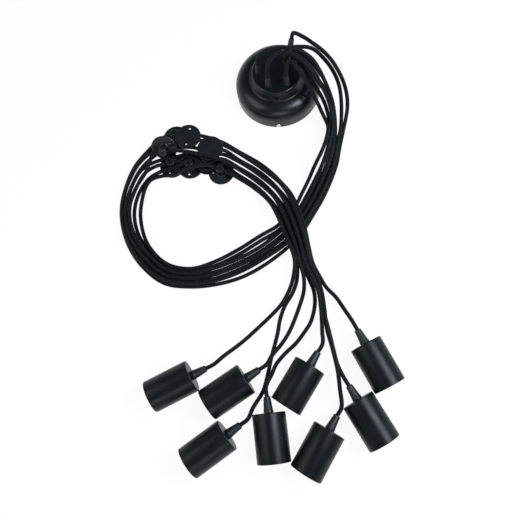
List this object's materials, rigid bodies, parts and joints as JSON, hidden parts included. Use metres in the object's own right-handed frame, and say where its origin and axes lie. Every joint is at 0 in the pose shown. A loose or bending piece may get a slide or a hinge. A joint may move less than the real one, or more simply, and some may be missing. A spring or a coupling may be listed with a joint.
{
  "type": "spider pendant light",
  "caption": "Spider pendant light: a two-tier black canopy from which black textile cords run through round cord hooks to cup-shaped lampholders, laid out on a table",
  "frame": {"origin": "The middle of the canopy's ceiling bracket, on its back face, which is the plane of the canopy's open rim and of the table it stands on", "axes": "-Z points out of the ceiling face, so +Z runs from the rim to the canopy's top; +Y points away from the lampholders and to the top of the picture; +X to its right"},
  "size_m": [0.4109, 0.6526, 0.1114],
  "materials": {
    "canopy": "gloss black paint",
    "cup": "satin black paint",
    "hook": "satin black paint",
    "grip": "moulded black nylon",
    "textile": "braided black textile over a round cable",
    "holder": "moulded black phenolic",
    "side_screw": "bright nickel plate",
    "bracket": "zinc plate",
    "terminals": "natural polyamide",
    "earth": "plain brass",
    "lead_live": "brown insulation",
    "lead_neutral": "blue insulation"
  },
  "bodies": {
    "canopy": {"canopy_cover": "canopy", "ceiling_bracket": "bracket", "terminal_block": "terminals", "earth_terminal": "earth", "inner_leads_live": "lead_live", "inner_leads_neutral": "lead_neutral", "canopy_grip_1": "grip", "canopy_grip_2": "grip", "canopy_grip_3": "grip", "canopy_grip_4": "grip", "canopy_grip_5": "grip", "canopy_grip_6": "grip", "canopy_grip_7": "grip", "canopy_grip_8": "grip", "cord_1": "textile", "cord_2": "textile", "cord_3": "textile", "cord_4": "textile", "cord_5": "textile", "cord_6": "textile", "cord_7": "textile", "cord_8": "textile", "cord_hook_1": "hook", "cord_hook_2": "hook", "cord_hook_3": "hook", "cord_hook_4": "hook", "cord_hook_5": "hook", "cord_hook_6": "hook", "cord_hook_7": "hook", "cord_hook_8": "hook"},
    "screw_front": {"side_screw_front": "side_screw"},
    "screw_back": {"side_screw_back": "side_screw"},
    "lampholder_set_1": {"lampholder_cover_1": "cup", "lampholder_1": "holder", "lampholder_grip_1": "grip"},
    "lampholder_set_2": {"lampholder_cover_2": "cup", "lampholder_2": "holder", "lampholder_grip_2": "grip"},
    "lampholder_set_3": {"lampholder_cover_3": "cup", "lampholder_3": "holder", "lampholder_grip_3": "grip"},
    "lampholder_set_4": {"lampholder_cover_4": "cup", "lampholder_4": "holder", "lampholder_grip_4": "grip"},
    "lampholder_set_5": {"lampholder_cover_5": "cup", "lampholder_5": "holder", "lampholder_grip_5": "grip"},
    "lampholder_set_6": {"lampholder_cover_6": "cup", "lampholder_6": "holder", "lampholder_grip_6": "grip"},
    "lampholder_set_7": {"lampholder_cover_7": "cup", "lampholder_7": "holder", "lampholder_grip_7": "grip"},
    "lampholder_set_8": {"lampholder_cover_8": "cup", "lampholder_8": "holder", "lampholder_grip_8": "grip"}
  },
  "joints": [
    {"name": "side_screw_front_out", "type": "slide", "parent": "canopy", "child": "screw_front", "axis": [0, -1, 0], "range_m": [0, 0.006]},
    {"name": "side_screw_back_out", "type": "slide", "parent": "canopy", "child": "screw_back", "axis": [0, 1, 0], "range_m": [0, 0.006]},
    {"name": "lampholder_1_twist", "type": "hinge", "parent": "canopy", "child": "lampholder_set_1", "pos_m": [-0.1779, -0.4757, 0.0225], "axis": [0.8942, 0.4478, 0], "range_deg": [-180, 180]},
    {"name": "lampholder_2_twist", "type": "hinge", "parent": "canopy", "child": "lampholder_set_2", "pos_m": [-0.0993, -0.4864, 0.0225], "axis": [0.8339, 0.5519, 0], "range_deg": [-180, 180]},
    {"name": "lampholder_3_twist", "type": "hinge", "parent": "canopy", "child": "lampholder_set_3", "pos_m": [-0.1231, -0.5611, 0.0225], "axis": [0.8151, 0.5793, 0], "range_deg": [-180, 180]},
    {"name": "lampholder_4_twist", "type": "hinge", "parent": "canopy", "child": "lampholder_set_4", "pos_m": [-0.009, -0.5595, 0.0225], "axis": [-0.1115, 0.9938, 0], "range_deg": [-180, 180]},
    {"name": "lampholder_5_twist", "type": "hinge", "parent": "canopy", "child": "lampholder_set_5", "pos_m": [0.0066, -0.4879, 0.0225], "axis": [0.5314, 0.8471, 0], "range_deg": [-180, 180]},
    {"name": "lampholder_6_twist", "type": "hinge", "parent": "canopy", "child": "lampholder_set_6", "pos_m": [0.0315, -0.5724, 0.0225], "axis": [0.509, 0.8607, 0], "range_deg": [-180, 180]},
    {"name": "lampholder_7_twist", "type": "hinge", "parent": "canopy", "child": "lampholder_set_7", "pos_m": [0.1342, -0.5341, 0.0225], "axis": [-0.5075, 0.8616, 0], "range_deg": [-180, 180]},
    {"name": "lampholder_8_twist", "type": "hinge", "parent": "canopy", "child": "lampholder_set_8", "pos_m": [0.1451, -0.462, 0.0225], "axis": [-0.4648, 0.8854, 0], "range_deg": [-180, 180]}
  ]
}
